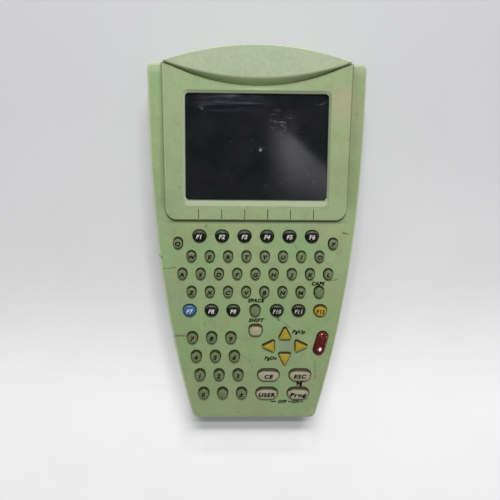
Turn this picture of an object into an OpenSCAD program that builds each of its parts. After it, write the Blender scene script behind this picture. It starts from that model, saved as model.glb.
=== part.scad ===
// Handheld survey data collector, lying on its back.
// Millimetres. +X right, +Y towards the crowned top end, +Z out of the keypad face.
// The origin is the middle of the footprint on the rest plane.

/* [Housing] */
// Overall length, lower end to the crown of the top cap
body_l = 218.4; // [216:0.2:220]
// Overall width across the side bumpers
body_w = 123; // [122:0.5:124]
// Height of the keypad face above the rest plane
face_z = 43.5; // [43:0.1:44]
// Height of the seam between the two covers
seam_z = 27; // [26.5:0.1:27.5]
// Height of the hollow back of the grip
grip_z = 20; // [19:0.5:20.5]
// Thickness of the moulded walls
wall = 2.4; // [2:0.1:2.6]
// How far each side pulls in from the bumpers to the lower end
side_taper = 24.7; // [23:0.1:26]
// How late the sides start to pull in
taper_power = 2.37; // [2:0.01:2.8]

/* [Display] */
// Width of the clear window
window_w = 80.8; // [78:0.2:82]
// Height of the clear window
window_h = 59.6; // [57:0.2:60]
// Middle of the window, up from the middle of the body
window_y = 53; // [52:0.1:54]
// Height of the raised display frame over the keypad face
frame_h = 2; // [1:0.1:2.4]
// Height of the top cap over the keypad face
cap_h = 4.5; // [3.5:0.1:5]

/* [Keys] */
// Travel of every key
key_travel = 1; // [0.6:0.1:1]
// Height of the key tops over the keypad face
key_proud = 2.6; // [1.5:0.1:3]
// Gap round each key
key_gap = 0.45; // [0.3:0.05:0.5]
// Spacing of the letter keys
letter_pitch = 10.66; // [10.5:0.02:10.8]
// Spacing of the upper function keys
f_pitch = 13.05; // [12.9:0.05:13.1]
// Spacing of the lower function keys
g_pitch = 12.85; // [12.7:0.05:12.9]
// Spacing of the digit keys, across and down
digit_pitch = [11.35, 11.5]; // [11:0.05:12]

/* [Back] */
// Width of the hand strap
strap_w = 34; // [28:1:36]
// Thickness of the hand strap
strap_t = 2.4; // [1.8:0.1:2.6]
// Radius of the port's mating bore
port_r = 6; // [5.5:0.1:6.2]
// Spacing of the bracket inserts, across and along
insert_pitch = [97, 40]; // [36:1:98]

/* [Hidden] */
half_l = body_l / 2;
half_w = body_w / 2;
bumper_top = half_l - 9.5;
bumper_round = 3.5;
crown_r = 160;
cap_half = 52.4;
body_t = face_z + cap_h;
eps = 0.02;
fine = 48;

function mirrored(half) = concat(half, [for (i = [len(half) - 2:-1:1]) [-half[i].x, half[i].y]]);
function unit(v) = v / norm(v);
// Points of the fillet of radius r at corner b, on the way from a to c
function fillet(a, b, c, r, n = 8) =
    let (u = unit(a - b), v = unit(c - b), ang = acos(u * v))
    let (mid = b + unit(u + v) * r / sin(ang / 2), d = r / tan(ang / 2))
    let (p = b + u * d - mid, q = b + v * d - mid, a0 = atan2(p.y, p.x))
    let (turn = atan2(p.x * q.y - p.y * q.x, p * q))
    [for (i = [0:n]) mid + r * [cos(a0 + turn * i / n), sin(a0 + turn * i / n)]];
function filleted(pts, r) = let (n = len(pts))
    [for (i = [0:n - 1]) each fillet(pts[(i + n - 1) % n], pts[i], pts[(i + 1) % n], r)];
function crown_y(x, top, r) = top - r + sqrt(r * r - x * x);
function half_width(y) =
    half_w - side_taper * pow((bumper_top - y) / (bumper_top + half_l), taper_power);

// Outline of the two covers: crowned top, square bumpers, sides that pull in
lower_corner = [half_width(-half_l), -half_l];
side_top = bumper_top - bumper_round;
side_steps = 14;
function side_y(i) = side_top + (lower_corner.y - side_top) * i / side_steps;
body_half = concat(
    [for (a = [90:-15:0]) [half_w, bumper_top] + bumper_round * [cos(a) - 1, sin(a) - 1]],
    [for (i = [1:side_steps - 1]) [half_width(side_y(i)), side_y(i)]],
    fillet([half_width(side_y(side_steps - 1)), side_y(side_steps - 1)],
           lower_corner, [0, -half_l], 4.5),
    [[0, -half_l]]
);
crown_half = [for (i = [0:8]) let (x = cap_half * i / 8) [x, crown_y(x, half_l - 1, crown_r)]];
module outline(inset = 0) {
    if (inset == 0) polygon(mirrored(concat(crown_half, body_half)));
    else offset(delta = -inset) polygon(mirrored(concat(crown_half, body_half)));
}
// The two convex stretches of the outline, for rounding its edges
module body_outline(inset) {
    offset(delta = -inset) polygon(mirrored(concat([[0, bumper_top]], body_half)));
}
module crown_outline(inset) {
    offset(delta = -inset) polygon(mirrored(concat(crown_half, [[cap_half, 0], [0, 0]])));
}
module slab(z, h) { translate([0, 0, z]) linear_extrude(h) children(); }
module rounded_rect(w, h, r) {
    polygon(filleted([[-w / 2, -h / 2], [w / 2, -h / 2], [w / 2, h / 2], [-w / 2, h / 2]], r));
}

// ---- levels inside the case ----
plate_z = face_z - wall;
board_z = 30;
board_t = 1.6;
keyboard_z = plate_z - 5.7;
mat_z = keyboard_z + 1.6;
mat_t = 0.8;
key_z = plate_z - 1.8;
dome_r = 1.4;
dome_h = 1.1;
seal_half = 0.8;
seam_gap = 0.15;

// ---- screws ----
// Heads are radius and height
screw_seat = 23.4;
screw_len = 14;
screw_r = 1.4;
screw_post_r = 5;
screw_head = [2.9, 2.2];
board_screw_r = 1.1;
board_post_r = 3;
board_screw_head = [2.2, 1.3];
screw_at = [[51.5, 90], [50, 13], [42.5, -51], [31.5, -102]];
board_screw_at = [[41, 96], [40, -13]];
module each_side(places) { for (p = places, s = [-1, 1]) translate([s * p.x, p.y, 0]) children(); }

// ---- keys ----
f_y = 2.3;
q_y = -1.9;
letter_y = [-9.6, -19.95, -30.7];
space_y = -41.9;
shift_at = [0.4, -54];
pad_at = [17.9, -63.6];
pad_step = [9.6, 7.6];
enter_at = [39.3, -62];
enter_tilt = -15;
digit_at = [-36.95, -58.5];
digit_shift = 2.2;
soft_at = [[8.4, -81.8], [27.3, -81.8], [7.5, -93.3], [26.4, -93.3]];
letter_size = [6.1, 7.2];
f_size = [8.5, 7.6];
digit_size = [6.9, 7.9];
space_size = [6.9, 7.9];
caps_size = [6.5, 7.8];
shift_size = [8.6, 7.8];
soft_size = [14, 8.3];
enter_size = [7.3, 15.6];
// Each key's flange below the face, past its hole, and its socket: radius and depth
flange_w = 0.15;
flange_h = 1;
key_socket = [1.9, 1.1];

function f_place(i) = i <= 6 ? [(i - 3.5) * f_pitch, f_y]
    : [(i <= 9 ? i - 10 : i - 9) * g_pitch, space_y];
row_q = concat([[-45, q_y]], [for (i = [0:7]) [(i - 3.5) * letter_pitch, letter_y[0]]], [[45, q_y]]);
row_a = [for (i = [0:8]) [(i - 4) * letter_pitch, letter_y[1]]];
row_z = [for (i = [0:6]) [(i - 3.5) * letter_pitch, letter_y[2]]];
caps_at = [3.52 * letter_pitch, letter_y[2]];
// Digits run 7 8 9, 4 5 6, 1 2 3, then 0, the point and the sign
digit_names = ["7", "8", "9", "4", "5", "6", "1", "2", "3", "0", "point", "sign"];
function digit_place(i) = let (c = i % 3, r = floor(i / 3))
    digit_at + [c * digit_pitch.x + r * digit_shift, -r * digit_pitch.y];
soft_names = ["ce", "esc", "user", "prog"];
// Arrow keys, each a quarter turn on from the one before
arrow_names = ["up", "left", "down", "right"];
function arrow_place(i) = pad_at + [-sin(90 * i) * pad_step.x, cos(90 * i) * pad_step.y];

// A round-ended outline, w across and h along
module oval(size, grow = 0) {
    w = size.x + 2 * grow;
    h = size.y + 2 * grow;
    r = min(w, h) / 2;
    dx = (w - 2 * r) / 2;
    dy = (h - 2 * r) / 2;
    for (s = [-1, 1]) translate([s * dx, s * dy]) circle(r, $fn = fine);
    square([max(2 * dx, h == 2 * r ? eps : w), max(2 * dy, w == 2 * r ? eps : h)], center = true);
}
// A rounded triangle pointing along +Y
module arrow(grow = 0) {
    r = 1.3 + grow;
    tip = [0, 2.9];
    base = [2.7, -2.6];
    polygon(concat(
        [for (a = [27:21:153]) tip + r * [cos(a), sin(a)]],
        [for (a = [153:39:270]) [-base.x, base.y] + r * [cos(a), sin(a)]],
        [for (a = [270:39:387]) base + r * [cos(a), sin(a)]]
    ));
}
module rounded_key(size, grow = 0) {
    rounded_rect(size.x + 2 * grow, size.y + 2 * grow, 3 + grow);
}
// One key: a domed cap through the face, a flange below it and a socket for the dome
module key(crown = 16) {
    top = face_z + key_proud;
    difference() {
        union() {
            intersection() {
                slab(key_z, top - key_z) children(0);
                translate([0, 0, top - crown]) sphere(crown, $fn = 96);
            }
            slab(key_z, flange_h) children(1);
        }
        translate([0, 0, key_z - 1]) cylinder(h = key_socket.y + 1, r = key_socket.x, $fn = fine);
    }
}
module oval_key(size, crown = 16) {
    key(crown = crown) {
        oval(size, -key_gap);
        oval(size, flange_w);
    }
}

// Every key hole, drawn with its own key's outline
module key_holes() {
    for (i = [1:12]) translate(f_place(i)) oval(f_size);
    for (p = concat(row_q, row_a, row_z)) translate(p) oval(letter_size);
    for (i = [0:11]) translate(digit_place(i)) oval(digit_size);
    for (p = soft_at) translate(p) oval(soft_size);
    for (i = [0:3]) translate(arrow_place(i)) rotate(90 * i) arrow();
    translate(enter_at) rotate(enter_tilt) oval(enter_size);
    translate([0, space_y]) oval(space_size);
    translate(caps_at) oval(caps_size);
    translate(shift_at) rounded_key(shift_size);
}
key_places = concat(
    [for (i = [1:12]) f_place(i)], row_q, row_a, row_z, [for (i = [0:11]) digit_place(i)],
    soft_at, [for (i = [0:3]) arrow_place(i)], [enter_at, [0, space_y], caps_at, shift_at]
);

// ---- keys as parts ----
function f_colour(i) = i == 7 ? "royalblue" : i == 12 ? "goldenrod" : "dimgray";
module f_key(i) { color(f_colour(i)) translate(f_place(i)) oval_key(f_size); }
module letter_row(places) {
    color("darkseagreen") for (p = places) translate(p) oval_key(letter_size);
}
module digit_key(i) { color("darkseagreen") translate(digit_place(i)) oval_key(digit_size); }
module soft_key(i) { color("beige") translate(soft_at[i]) oval_key(soft_size, crown = 30); }
module arrow_key(i) {
    color("gold") translate(arrow_place(i)) rotate(90 * i) key() {
        arrow(-key_gap);
        arrow(flange_w);
    }
}
module enter_key() {
    color("darkred") translate(enter_at) rotate(enter_tilt) oval_key(enter_size, crown = 30);
}
module space_key() { color("darkseagreen") translate([0, space_y]) oval_key(space_size); }
module caps_key() { color("darkseagreen") translate(caps_at) oval_key(caps_size); }
module shift_key() {
    color("beige") translate(shift_at) key(crown = 22) {
        rounded_key(shift_size, -key_gap);
        rounded_key(shift_size, flange_w);
    }
}

// ---- front cover ----
edge_round = 2;
boss_r = 3;
seat_z = face_z - 0.8;
frame_side = 53.4;
frame_foot = [51.9, 11.6];
frame_half = concat(
    [[0, bumper_top - 0.2], [frame_side, bumper_top - 0.2]],
    fillet([frame_side, 51], frame_foot, [0, frame_foot.y], 6.5),
    [[0, frame_foot.y]]
);
cover_opening = [window_w + 4.2, window_h + 4.4];
peg_at = [[30, 100]];
peg_r = 1.5;

// Display frame, straight sides drawn in a little towards a rounded foot
module frame_outline() { polygon(mirrored(frame_half)); }
// Rounded edge, from the side round to the flat: pairs of rise and inset
function edge_steps(r) = [for (a = [0:22.5:90]) [r * sin(a), r * (1 - cos(a))]];
module front_shell() {
    low = face_z - edge_round;
    slab(seam_z + seam_gap, low - seam_z - seam_gap) outline();
    hull() for (s = edge_steps(edge_round))
        slab(low + s[0] - (s[1] == 0 ? 0 : eps), eps) body_outline(s[1]);
    hull() for (s = edge_steps(edge_round))
        slab(low + s[0] - (s[1] == 0 ? 0 : eps), eps) crown_outline(s[1]);
}
module front_cover() {
    color("darkseagreen") difference() {
        front_shell();
        difference() {
            slab(seam_z - 1, plate_z - seam_z + 1) outline(wall);
            each_side(screw_at) cylinder(h = body_t, r = boss_r, $fn = fine);
        }
        slab(plate_z - 1, wall + 2) key_holes();
        translate([0, window_y]) slab(plate_z - 1, wall + 2)
            rounded_rect(cover_opening.x, cover_opening.y, 2.5);
        // Seat for the display frame and the cap
        slab(seat_z, body_t) offset(delta = 0.5) frame_outline();
        slab(seat_z, body_t) cap_outline(0.1, cap_foot);
        each_side(screw_at) translate([0, 0, seam_z - 1]) cylinder(h = 12, r = screw_r + 0.05, $fn = fine);
        each_side(peg_at) cylinder(h = body_t, r = peg_r + 0.1, $fn = fine);
        slab(seam_z, seal_half) seal_ring(0.1);
    }
}

// ---- display frame, cap and window ----
recess_low = [-41.8, -33.1];
recess_high = [41.8, 31.6];
tick_l = 5.8;
tick_w = 0.4;
tick_pitch = 13.2;
module display_frame() {
    top = face_z + frame_h;
    color("darkseagreen") difference() {
        hull() {
            slab(seat_z, eps) frame_outline();
            slab(top - 0.6, eps) frame_outline();
            slab(top - eps, eps) offset(delta = -0.6) frame_outline();
        }
        slab(seat_z - 1, body_t) cap_outline(0.2, cap_foot);
        translate([0, window_y]) {
            slab(seat_z - 1, body_t) rounded_rect(window_w, window_h, 2);
            // Bevel round the window, deeper below it than above
            hull() {
                slab(face_z - 0.2, eps) rounded_rect(window_w, window_h, 2);
                slab(top + eps, eps) translate((recess_low + recess_high) / 2)
                    rounded_rect(recess_high.x - recess_low.x, recess_high.y - recess_low.y, 3);
            }
        }
        // Marks over the six soft keys
        for (i = [1:6]) translate([(i - 3.5) * tick_pitch - tick_w / 2, 12.2, top - 0.3])
            cube([tick_w, tick_l, 1]);
    }
}

cap_low = half_l - 17.6;
cap_foot = half_l - 21.6;
cap_steps = 12;
// Radius of the arc that sags from the cap's corners to low
function sag_radius(low) = let (drop = crown_y(cap_half, half_l, crown_r) - low)
    (cap_half ^ 2 + drop ^ 2) / (2 * drop);
// Lens shape between the crowned top and the arc that sags to low
module cap_outline(grow, low) {
    r = sag_radius(low);
    xs = [for (i = [-cap_steps:cap_steps]) cap_half * i / cap_steps];
    upper = [for (x = xs) [x, crown_y(x, half_l, crown_r)]];
    lower = [for (x = xs) [-x, low - 0.5 + r - sqrt(r * r - x * x)]];
    offset(delta = grow) polygon(concat(upper, lower));
}
module top_cap() {
    top = face_z + cap_h;
    color("darkseagreen") {
        hull() {
            slab(seat_z, eps) cap_outline(0, cap_foot);
            slab(top - 1.6, eps) cap_outline(0, cap_foot + 2.6);
            slab(top - 0.7, eps) cap_outline(0, cap_low);
            slab(top - eps, eps) cap_outline(-0.6, cap_low);
        }
        each_side(peg_at) translate([0, 0, plate_z - 0.6])
            cylinder(h = wall + 1, r = peg_r, $fn = fine);
    }
}

window_t = 1.5;
gasket_t = 0.5;
window_z = seat_z - gasket_t - window_t;
module display_window() {
    color("#202326") translate([0, window_y]) slab(window_z, window_t)
        rounded_rect(cover_opening.x - 0.6, cover_opening.y - 0.6, 2.2);
}
module window_gasket() {
    color("dimgray") translate([0, window_y]) slab(seat_z - gasket_t, gasket_t) difference() {
        rounded_rect(cover_opening.x - 0.8, cover_opening.y - 0.8, 2.2);
        rounded_rect(window_w + 0.6, window_h + 0.6, 1.8);
    }
}
lcd_size = [92, 70, 4.6];
lcd_view = [84, 62];
module lcd_module() {
    z = window_z - lcd_size.z - 0.2;
    translate([0, window_y]) {
        color("slategray") difference() {
            slab(z, lcd_size.z) rounded_rect(lcd_size.x, lcd_size.y, 1.5);
            slab(z + lcd_size.z - 1, 2) square(lcd_view, center = true);
        }
        color("#1c1f21") slab(z + lcd_size.z - 1, 0.6) square(lcd_view, center = true);
    }
}

// ---- keypad ----
keypad_top = 8.6;
module keypad_outline(inset) {
    intersection() {
        outline(inset);
        translate([-half_w, -half_l]) square([body_w, half_l + keypad_top]);
    }
}
module keypad_sheet(z, h, inset, gap) {
    slab(z, h) difference() {
        keypad_outline(inset);
        each_side(screw_at) circle(boss_r + gap, $fn = fine);
    }
}
module keypad_mat() {
    color("dimgray") {
        keypad_sheet(mat_z, mat_t, wall + 1.6, 0.6);
        for (p = key_places) translate(p) slab(mat_z, mat_t + dome_h) circle(dome_r, $fn = 32);
    }
}
module keypad_board() { color("seagreen") keypad_sheet(keyboard_z, board_t, wall + 1.2, 0.5); }

// ---- main board ----
main_board_half = 45;
main_board_y = [-21, half_l - 10.6];
connector_size = [22, 5];
connector_at = [-18, -14];
buzzer_at = [-26, 14];
buzzer = [4.5, 2.6];
// Chips on the main board: corner, size and height
chips = [[[-8, 46], [22, 22], 2], [[20, 50], [14, 20], 1.4], [[-34, 40], [18, 12], 1.4],
         [[-34, 62], [14, 10], 1.4], [[4, 0], [16, 12], 2.2]];
module main_board() {
    color("seagreen") slab(board_z, board_t) difference() {
        translate([-main_board_half, main_board_y[0]])
            square([2 * main_board_half, main_board_y[1] - main_board_y[0]]);
        each_side(board_screw_at) circle(board_screw_r + 0.3, $fn = fine);
    }
    color("#26292b") for (c = chips) translate(c[0]) slab(board_z + board_t, c[2]) square(c[1]);
    color("silver") translate(buzzer_at) slab(board_z + board_t, buzzer.y) circle(buzzer.x, $fn = fine);
}
module board_connector() {
    color("#2b2b2b") translate(connector_at)
        slab(board_z + board_t, keyboard_z - board_z - board_t) square(connector_size, center = true);
}

// ---- rear cover ----
block_low = 24;
block_lean = 0.35;
foot_top = -84;
foot_lean = 0.14;
rear_round = 5;
foot_round = 3.5;
grip_round = 4;
bay_half = 38.5;
bay_y = [48, 94];
bay_roof = 21.5;
door_t = 2;
door_z = 0.4;
door_half = 40.4;
door_low = 39.5;
hinge_at = [96.4, 2];
knuckle_r = 1.6;
hinge_pin_r = 0.9;
hinge_pin_l = 2.6;
lock_y = 43.7;
lock_r = 1.7;
lock_socket_r = 2.8;
bar_at = [[32.5, 9], [-92, 9]];
bar_r = 1.6;
bar_half = strap_w / 2 + 6;
pocket_half = strap_w / 2 + 2;
pocket_z = [3, 15];
upper_pocket = [0, 37.5];
lower_pocket = [-97, -60];
insert_mid = 62;
insert_r = 2.6;
insert_l = 8;
port_z = 13;
port_seat = 1.6 - half_l;
port_boss_r = 12;
// Port flange and barrel: radius and length
port_flange = [9.8, 1.2];
port_body = [8, 9.6];

// Lower face of the upper block and upper face of the foot, at height z
function block_y(z) = block_low + block_lean * (grip_z - z);
function foot_y(z) = foot_top - foot_lean * (grip_z - z);
// Rounded back edge between the lines low and high, which shift with height
module rear_edge(r, base, low, high, crown = false) {
    hull() for (s = edge_steps(r)) slab(base + r - s[0] - (s[1] == 0 ? eps : 0), eps) intersection() {
        if (crown) crown_outline(s[1]);
        else body_outline(s[1]);
        translate([-half_w, low(r - s[0]) + s[1]])
            square([body_w, high(r - s[0]) - low(r - s[0]) - 2 * s[1]]);
    }
}
// A stretch of the outline between side profile points
module profiled(inset, top, points) {
    intersection() {
        slab(0, top) outline(inset);
        rotate([90, 0, 90]) translate([0, 0, -half_w]) linear_extrude(body_w) polygon(concat(
            [[half_l + 1, top + 1], [-half_l - 1, top + 1]], points
        ));
    }
}
// Thick upper block, thin grip and foot
module rear_form(top) {
    far_low = function (z) -half_l - 10;
    far_high = function (z) half_l + 10;
    profiled(0, top, [
        [-half_l - 1, foot_round], [foot_y(foot_round), foot_round], [foot_top, grip_z],
        [foot_top, grip_z + grip_round], [block_low, grip_z + grip_round], [block_low, grip_z],
        [block_y(rear_round), rear_round], [half_l + 1, rear_round]
    ]);
    rear_edge(rear_round, 0, function (z) block_y(z), far_high);
    rear_edge(rear_round, 0, function (z) block_y(z), far_high, crown = true);
    rear_edge(grip_round, grip_z, far_low, far_high);
    rear_edge(foot_round, 0, far_low, function (z) foot_y(z));
}
module rear_hollow(top) {
    floor_z = grip_z + wall;
    profiled(wall, top, [
        [-half_l - 1, wall], [foot_y(wall) - wall, wall], [foot_y(floor_z) - wall, floor_z],
        [block_y(floor_z) + wall, floor_z], [block_y(wall) + wall, wall], [half_l + 1, wall]
    ]);
}
module along_x(half, at, r) {
    translate([-half, at.x, at.y]) rotate([0, 90, 0]) cylinder(h = 2 * half, r = r, $fn = fine);
}
module along_y(y, l, r) {
    translate([0, y, port_z]) rotate([-90, 0, 0]) cylinder(h = l, r = r, $fn = fine);
}
module box(half, y, z) {
    translate([-half, y[0], z[0]]) cube([2 * half, y[1] - y[0], z[1] - z[0]]);
}
module each_insert() {
    for (s = [-1, 1], t = [-1, 1]) translate([s * insert_pitch.x, t * insert_pitch.y + 2 * insert_mid] / 2)
        children();
}
// Solid stretches inside the hollow: bay, pockets, port, and posts
module rear_inside() {
    box(bay_half + 7.5, [door_low - 3, bay_y[1] + 6], [0, bay_roof + 1.6]);
    box(pocket_half + 6, [upper_pocket[0], upper_pocket[1] + 2.5], [0, pocket_z[1] + wall]);
    box(pocket_half + 6, [lower_pocket[0] - 2, lower_pocket[1]], [0, pocket_z[1] + wall]);
    along_y(-half_l, 9, port_boss_r);
    each_side(screw_at) cylinder(h = body_t, r = screw_post_r, $fn = fine);
    each_side(board_screw_at) cylinder(h = body_t, r = board_post_r, $fn = fine);
    each_insert() cylinder(h = insert_l + 3, r = insert_r + 2, $fn = fine);
}
module rear_cuts() {
    // Battery bay, door recess, hinge knuckle and lock socket
    box(bay_half, bay_y, [-1, bay_roof]);
    box(door_half + 0.4, [door_low - 0.4, hinge_at.x], [-1, door_z + door_t + 0.3]);
    along_x(door_half + 0.4, hinge_at, knuckle_r + 0.35);
    box(door_half + 0.4, [hinge_at.x - 2, hinge_at.x + knuckle_r + 0.35], [-1, hinge_at.y]);
    along_x(door_half + hinge_pin_l + 0.3, hinge_at, hinge_pin_r + 0.06);
    translate([0, lock_y]) cylinder(h = 7.5, r = lock_socket_r, $fn = fine);
    // Strap pockets and their bars
    box(pocket_half, upper_pocket, pocket_z);
    box(pocket_half, lower_pocket, pocket_z);
    for (p = bar_at) along_x(bar_half + 0.1, p, bar_r + 0.05);
    each_side(screw_at) {
        translate([0, 0, -1]) cylinder(h = screw_seat + 1, r = screw_head.x + 0.4, $fn = fine);
        cylinder(h = body_t, r = screw_r + 0.3, $fn = fine);
    }
    each_insert() translate([0, 0, -1]) cylinder(h = insert_l + 1.3, r = insert_r, $fn = fine);
    along_y(-half_l - 1, port_seat + half_l + 1, port_flange.x + 0.7);
    along_y(-half_l - 1, 20, port_body.x + 0.2);
    board_screw_holes();
    slab(seam_z - seal_half, body_t) seal_ring(0.1);
}
module board_screw_holes() {
    each_side(board_screw_at) translate([0, 0, board_z - 6])
        cylinder(h = 7, r = board_screw_r + 0.05, $fn = fine);
}
module rear_cover() {
    top = seam_z - seam_gap;
    color("darkseagreen") {
        difference() {
            rear_form(top);
            difference() {
                rear_hollow(top + 1);
                rear_inside();
            }
            rear_cuts();
        }
        // Tops of the posts that carry the main board
        difference() {
            each_side(board_screw_at) translate([0, 0, grip_z + wall])
                cylinder(h = board_z - grip_z - wall, r = board_post_r, $fn = fine);
            board_screw_holes();
        }
    }
}

module seal_ring(grow = 0) {
    difference() {
        outline(0.8 - grow);
        outline(1.6 + grow);
    }
}
module housing_seal() {
    color("#3a3d3f") slab(seam_z - seal_half + 0.05, 2 * seal_half - 0.1) seal_ring();
}

// ---- battery ----
module battery_pack() {
    color("#3b4043") box(bay_half - 0.6, [bay_y[0] + 0.6, bay_y[1] - 2.4],
        [door_z + door_t + 0.5, bay_roof - 0.4]);
}
module battery_contacts() {
    color("gold") for (i = [-1.5:1.5]) translate([i * 8, bay_y[1]]) {
        translate([-2, -2.2, 8]) cube([4, 0.5, 9]);
        translate([-2, -2.2, 16]) cube([4, 2.2, 1]);
    }
}
module battery_door() {
    color("darkseagreen") difference() {
        union() {
            box(door_half, [door_low, hinge_at.x], [door_z, door_z + door_t]);
            along_x(door_half, hinge_at, knuckle_r);
            along_x(door_half + hinge_pin_l, hinge_at, hinge_pin_r);
        }
        translate([0, lock_y]) {
            cylinder(h = body_t, r = lock_r + 0.1, $fn = fine);
            cylinder(h = door_z + 1.1, r = 2 * lock_r + 0.1, $fn = fine);
        }
        // Grip ridges near the free edge
        for (s = [-1, 1], i = [0:4]) translate([s * 24 - 6, door_low + 2.5 + 1.8 * i, door_z - 1])
            cube([12, 0.9, 1.5]);
    }
}
// Captive quarter-turn stud with a coin slot
module door_lock() {
    color("silver") translate([0, lock_y]) difference() {
        union() {
            translate([0, 0, door_z + 0.1]) cylinder(h = 1, r = 2 * lock_r, $fn = fine);
            translate([0, 0, door_z + 0.1]) cylinder(h = 6, r = lock_r, $fn = fine);
            translate([0, 0, door_z + door_t + 0.15]) cylinder(h = 0.8, r = lock_socket_r - 0.6, $fn = fine);
        }
        translate([-3 * lock_r, -0.4, 0]) cube([6 * lock_r, 0.8, door_z + 0.7]);
    }
}

// ---- port, strap and hardware ----
contact_count = 8;
module port_socket() {
    color("silver") difference() {
        union() {
            along_y(port_seat - port_flange.y, port_flange.y, port_flange.x);
            along_y(port_seat, port_body.y, port_body.x);
        }
        along_y(port_seat - 2, 7.3, port_r);
        along_y(port_seat, 8.2, port_r - 0.8);
    }
    color("gold") for (i = [1:contact_count]) rotate_port(360 * i / contact_count)
        translate([3.2, 0, 0]) along_y(port_seat + 5.5, 3, 0.55);
}
module rotate_port(a) { translate([0, 0, port_z]) rotate([0, a, 0]) translate([0, 0, -port_z]) children(); }

strap_mid = (bar_at[0].x + bar_at[1].x) / 2;
strap_span = (bar_at[0].x - bar_at[1].x) / 2;
strap_low = 2.4;
strap_high = bar_at[0].y - bar_r - 0.15 - strap_t / 2;
pad_y = [-66, 7];
function strap_z(y) = strap_low + (strap_high - strap_low) * pow(abs(y - strap_mid) / strap_span, 3);
// A band of thickness t that follows the strap's sag from y0 to y1
module band(w, t, y0, y1, steps = 16) {
    ys = [for (i = [0:steps]) y0 + (y1 - y0) * i / steps];
    rotate([90, 0, 90]) translate([0, 0, -w / 2]) linear_extrude(w) polygon(concat(
        [for (y = ys) [y, strap_z(y) - t / 2]], [for (i = [steps:-1:0]) [ys[i], strap_z(ys[i]) + t / 2]]
    ));
}
module hand_strap() {
    color("#2c2e30") difference() {
        union() {
            band(strap_w, strap_t, bar_at[1].x, bar_at[0].x);
            band(strap_w + 10, strap_t + 1.6, pad_y[0], pad_y[1]);
            for (p = bar_at) along_x(strap_w / 2, p, bar_r + 0.15 + strap_t);
        }
        for (p = bar_at) along_x(strap_w, p, bar_r + 0.15);
    }
}
module strap_bars() { color("silver") for (p = bar_at) along_x(bar_half, p, bar_r); }
module bracket_inserts() {
    color("gold") each_insert() difference() {
        translate([0, 0, 0.3]) cylinder(h = insert_l, r = insert_r - 0.05, $fn = fine);
        cylinder(h = body_t, r = 1.65, $fn = fine);
    }
}
module screw(head, r, l) {
    difference() {
        union() {
            cylinder(h = head.y, r = head.x, $fn = fine);
            cylinder(h = head.y + l, r = r, $fn = fine);
        }
        for (a = [0, 90]) rotate(a) translate([-0.6 * head.x, -0.35, -1]) cube([1.2 * head.x, 0.7, 2]);
    }
}
module case_screws() {
    color("silver") {
        each_side(screw_at) translate([0, 0, screw_seat - screw_head.y])
            screw(screw_head, screw_r, screw_len);
        each_side(board_screw_at) translate([0, 0, board_z + board_t + board_screw_head.y])
            rotate([180, 0, 0]) screw(board_screw_head, board_screw_r, 6.5);
    }
}

front_cover();
display_frame();
top_cap();
rear_cover();
housing_seal();
display_window();
window_gasket();
lcd_module();
keypad_mat();
keypad_board();
main_board();
board_connector();
battery_pack();
battery_contacts();
battery_door();
door_lock();
port_socket();
hand_strap();
strap_bars();
bracket_inserts();
case_screws();
letter_row(row_q);  // keys_row_q
letter_row(row_a);  // keys_row_a
letter_row(row_z);  // keys_row_z
space_key();  // key_space
caps_key();  // key_caps
shift_key();  // key_shift
enter_key();  // key_enter
for (i = [1:12]) f_key(i);
for (i = [0:11]) digit_key(i);
for (i = [0:3]) soft_key(i);
for (i = [0:3]) arrow_key(i);
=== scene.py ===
"""Looks of the handheld data collector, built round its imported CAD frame.

Blender works in metres. Sizes of the object are written as millimetres times MM. Lights, noise and bumps are
given in metres.
"""

import math

import bmesh
import bpy
from mathutils import Matrix, Vector


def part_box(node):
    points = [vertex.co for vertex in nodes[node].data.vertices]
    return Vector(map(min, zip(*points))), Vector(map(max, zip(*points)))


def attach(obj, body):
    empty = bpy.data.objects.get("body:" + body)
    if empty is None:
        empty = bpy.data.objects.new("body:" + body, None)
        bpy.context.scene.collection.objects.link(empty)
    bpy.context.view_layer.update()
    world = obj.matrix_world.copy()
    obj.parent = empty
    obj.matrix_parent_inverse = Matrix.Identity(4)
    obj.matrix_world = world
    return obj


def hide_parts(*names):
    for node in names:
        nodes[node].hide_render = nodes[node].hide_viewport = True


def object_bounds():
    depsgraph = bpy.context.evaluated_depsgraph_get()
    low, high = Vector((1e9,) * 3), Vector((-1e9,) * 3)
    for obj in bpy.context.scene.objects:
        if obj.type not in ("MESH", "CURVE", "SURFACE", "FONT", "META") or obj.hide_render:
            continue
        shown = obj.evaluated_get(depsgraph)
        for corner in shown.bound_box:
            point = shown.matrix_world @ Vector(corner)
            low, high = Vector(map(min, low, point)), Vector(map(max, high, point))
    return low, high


MM = 0.001
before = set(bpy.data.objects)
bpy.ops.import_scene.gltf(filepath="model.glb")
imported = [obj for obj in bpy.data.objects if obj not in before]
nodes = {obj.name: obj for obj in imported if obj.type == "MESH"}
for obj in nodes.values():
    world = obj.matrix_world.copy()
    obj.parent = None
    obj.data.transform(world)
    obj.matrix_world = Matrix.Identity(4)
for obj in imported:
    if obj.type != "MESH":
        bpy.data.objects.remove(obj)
cad_low, cad_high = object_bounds()


def add_object(name, data):
    obj = bpy.data.objects.new(name, data)
    bpy.context.scene.collection.objects.link(obj)
    return obj


# ---------------------------------------------------------------- camera, light and reflections
def make_camera():
    """The viewing angle of a hand-held picture taken from above, a little past the top end."""
    data = bpy.data.cameras.new("camera")
    data.lens = 47.7
    data.sensor_width = 36
    data.clip_start = 0.01
    camera = add_object("camera", data)
    camera.location = Vector((-13.6, 55.6, 423.8)) * MM
    camera.rotation_euler = [math.radians(a) for a in (-9.2, -1.47, 0.5)]
    bpy.context.scene.camera = camera


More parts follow.
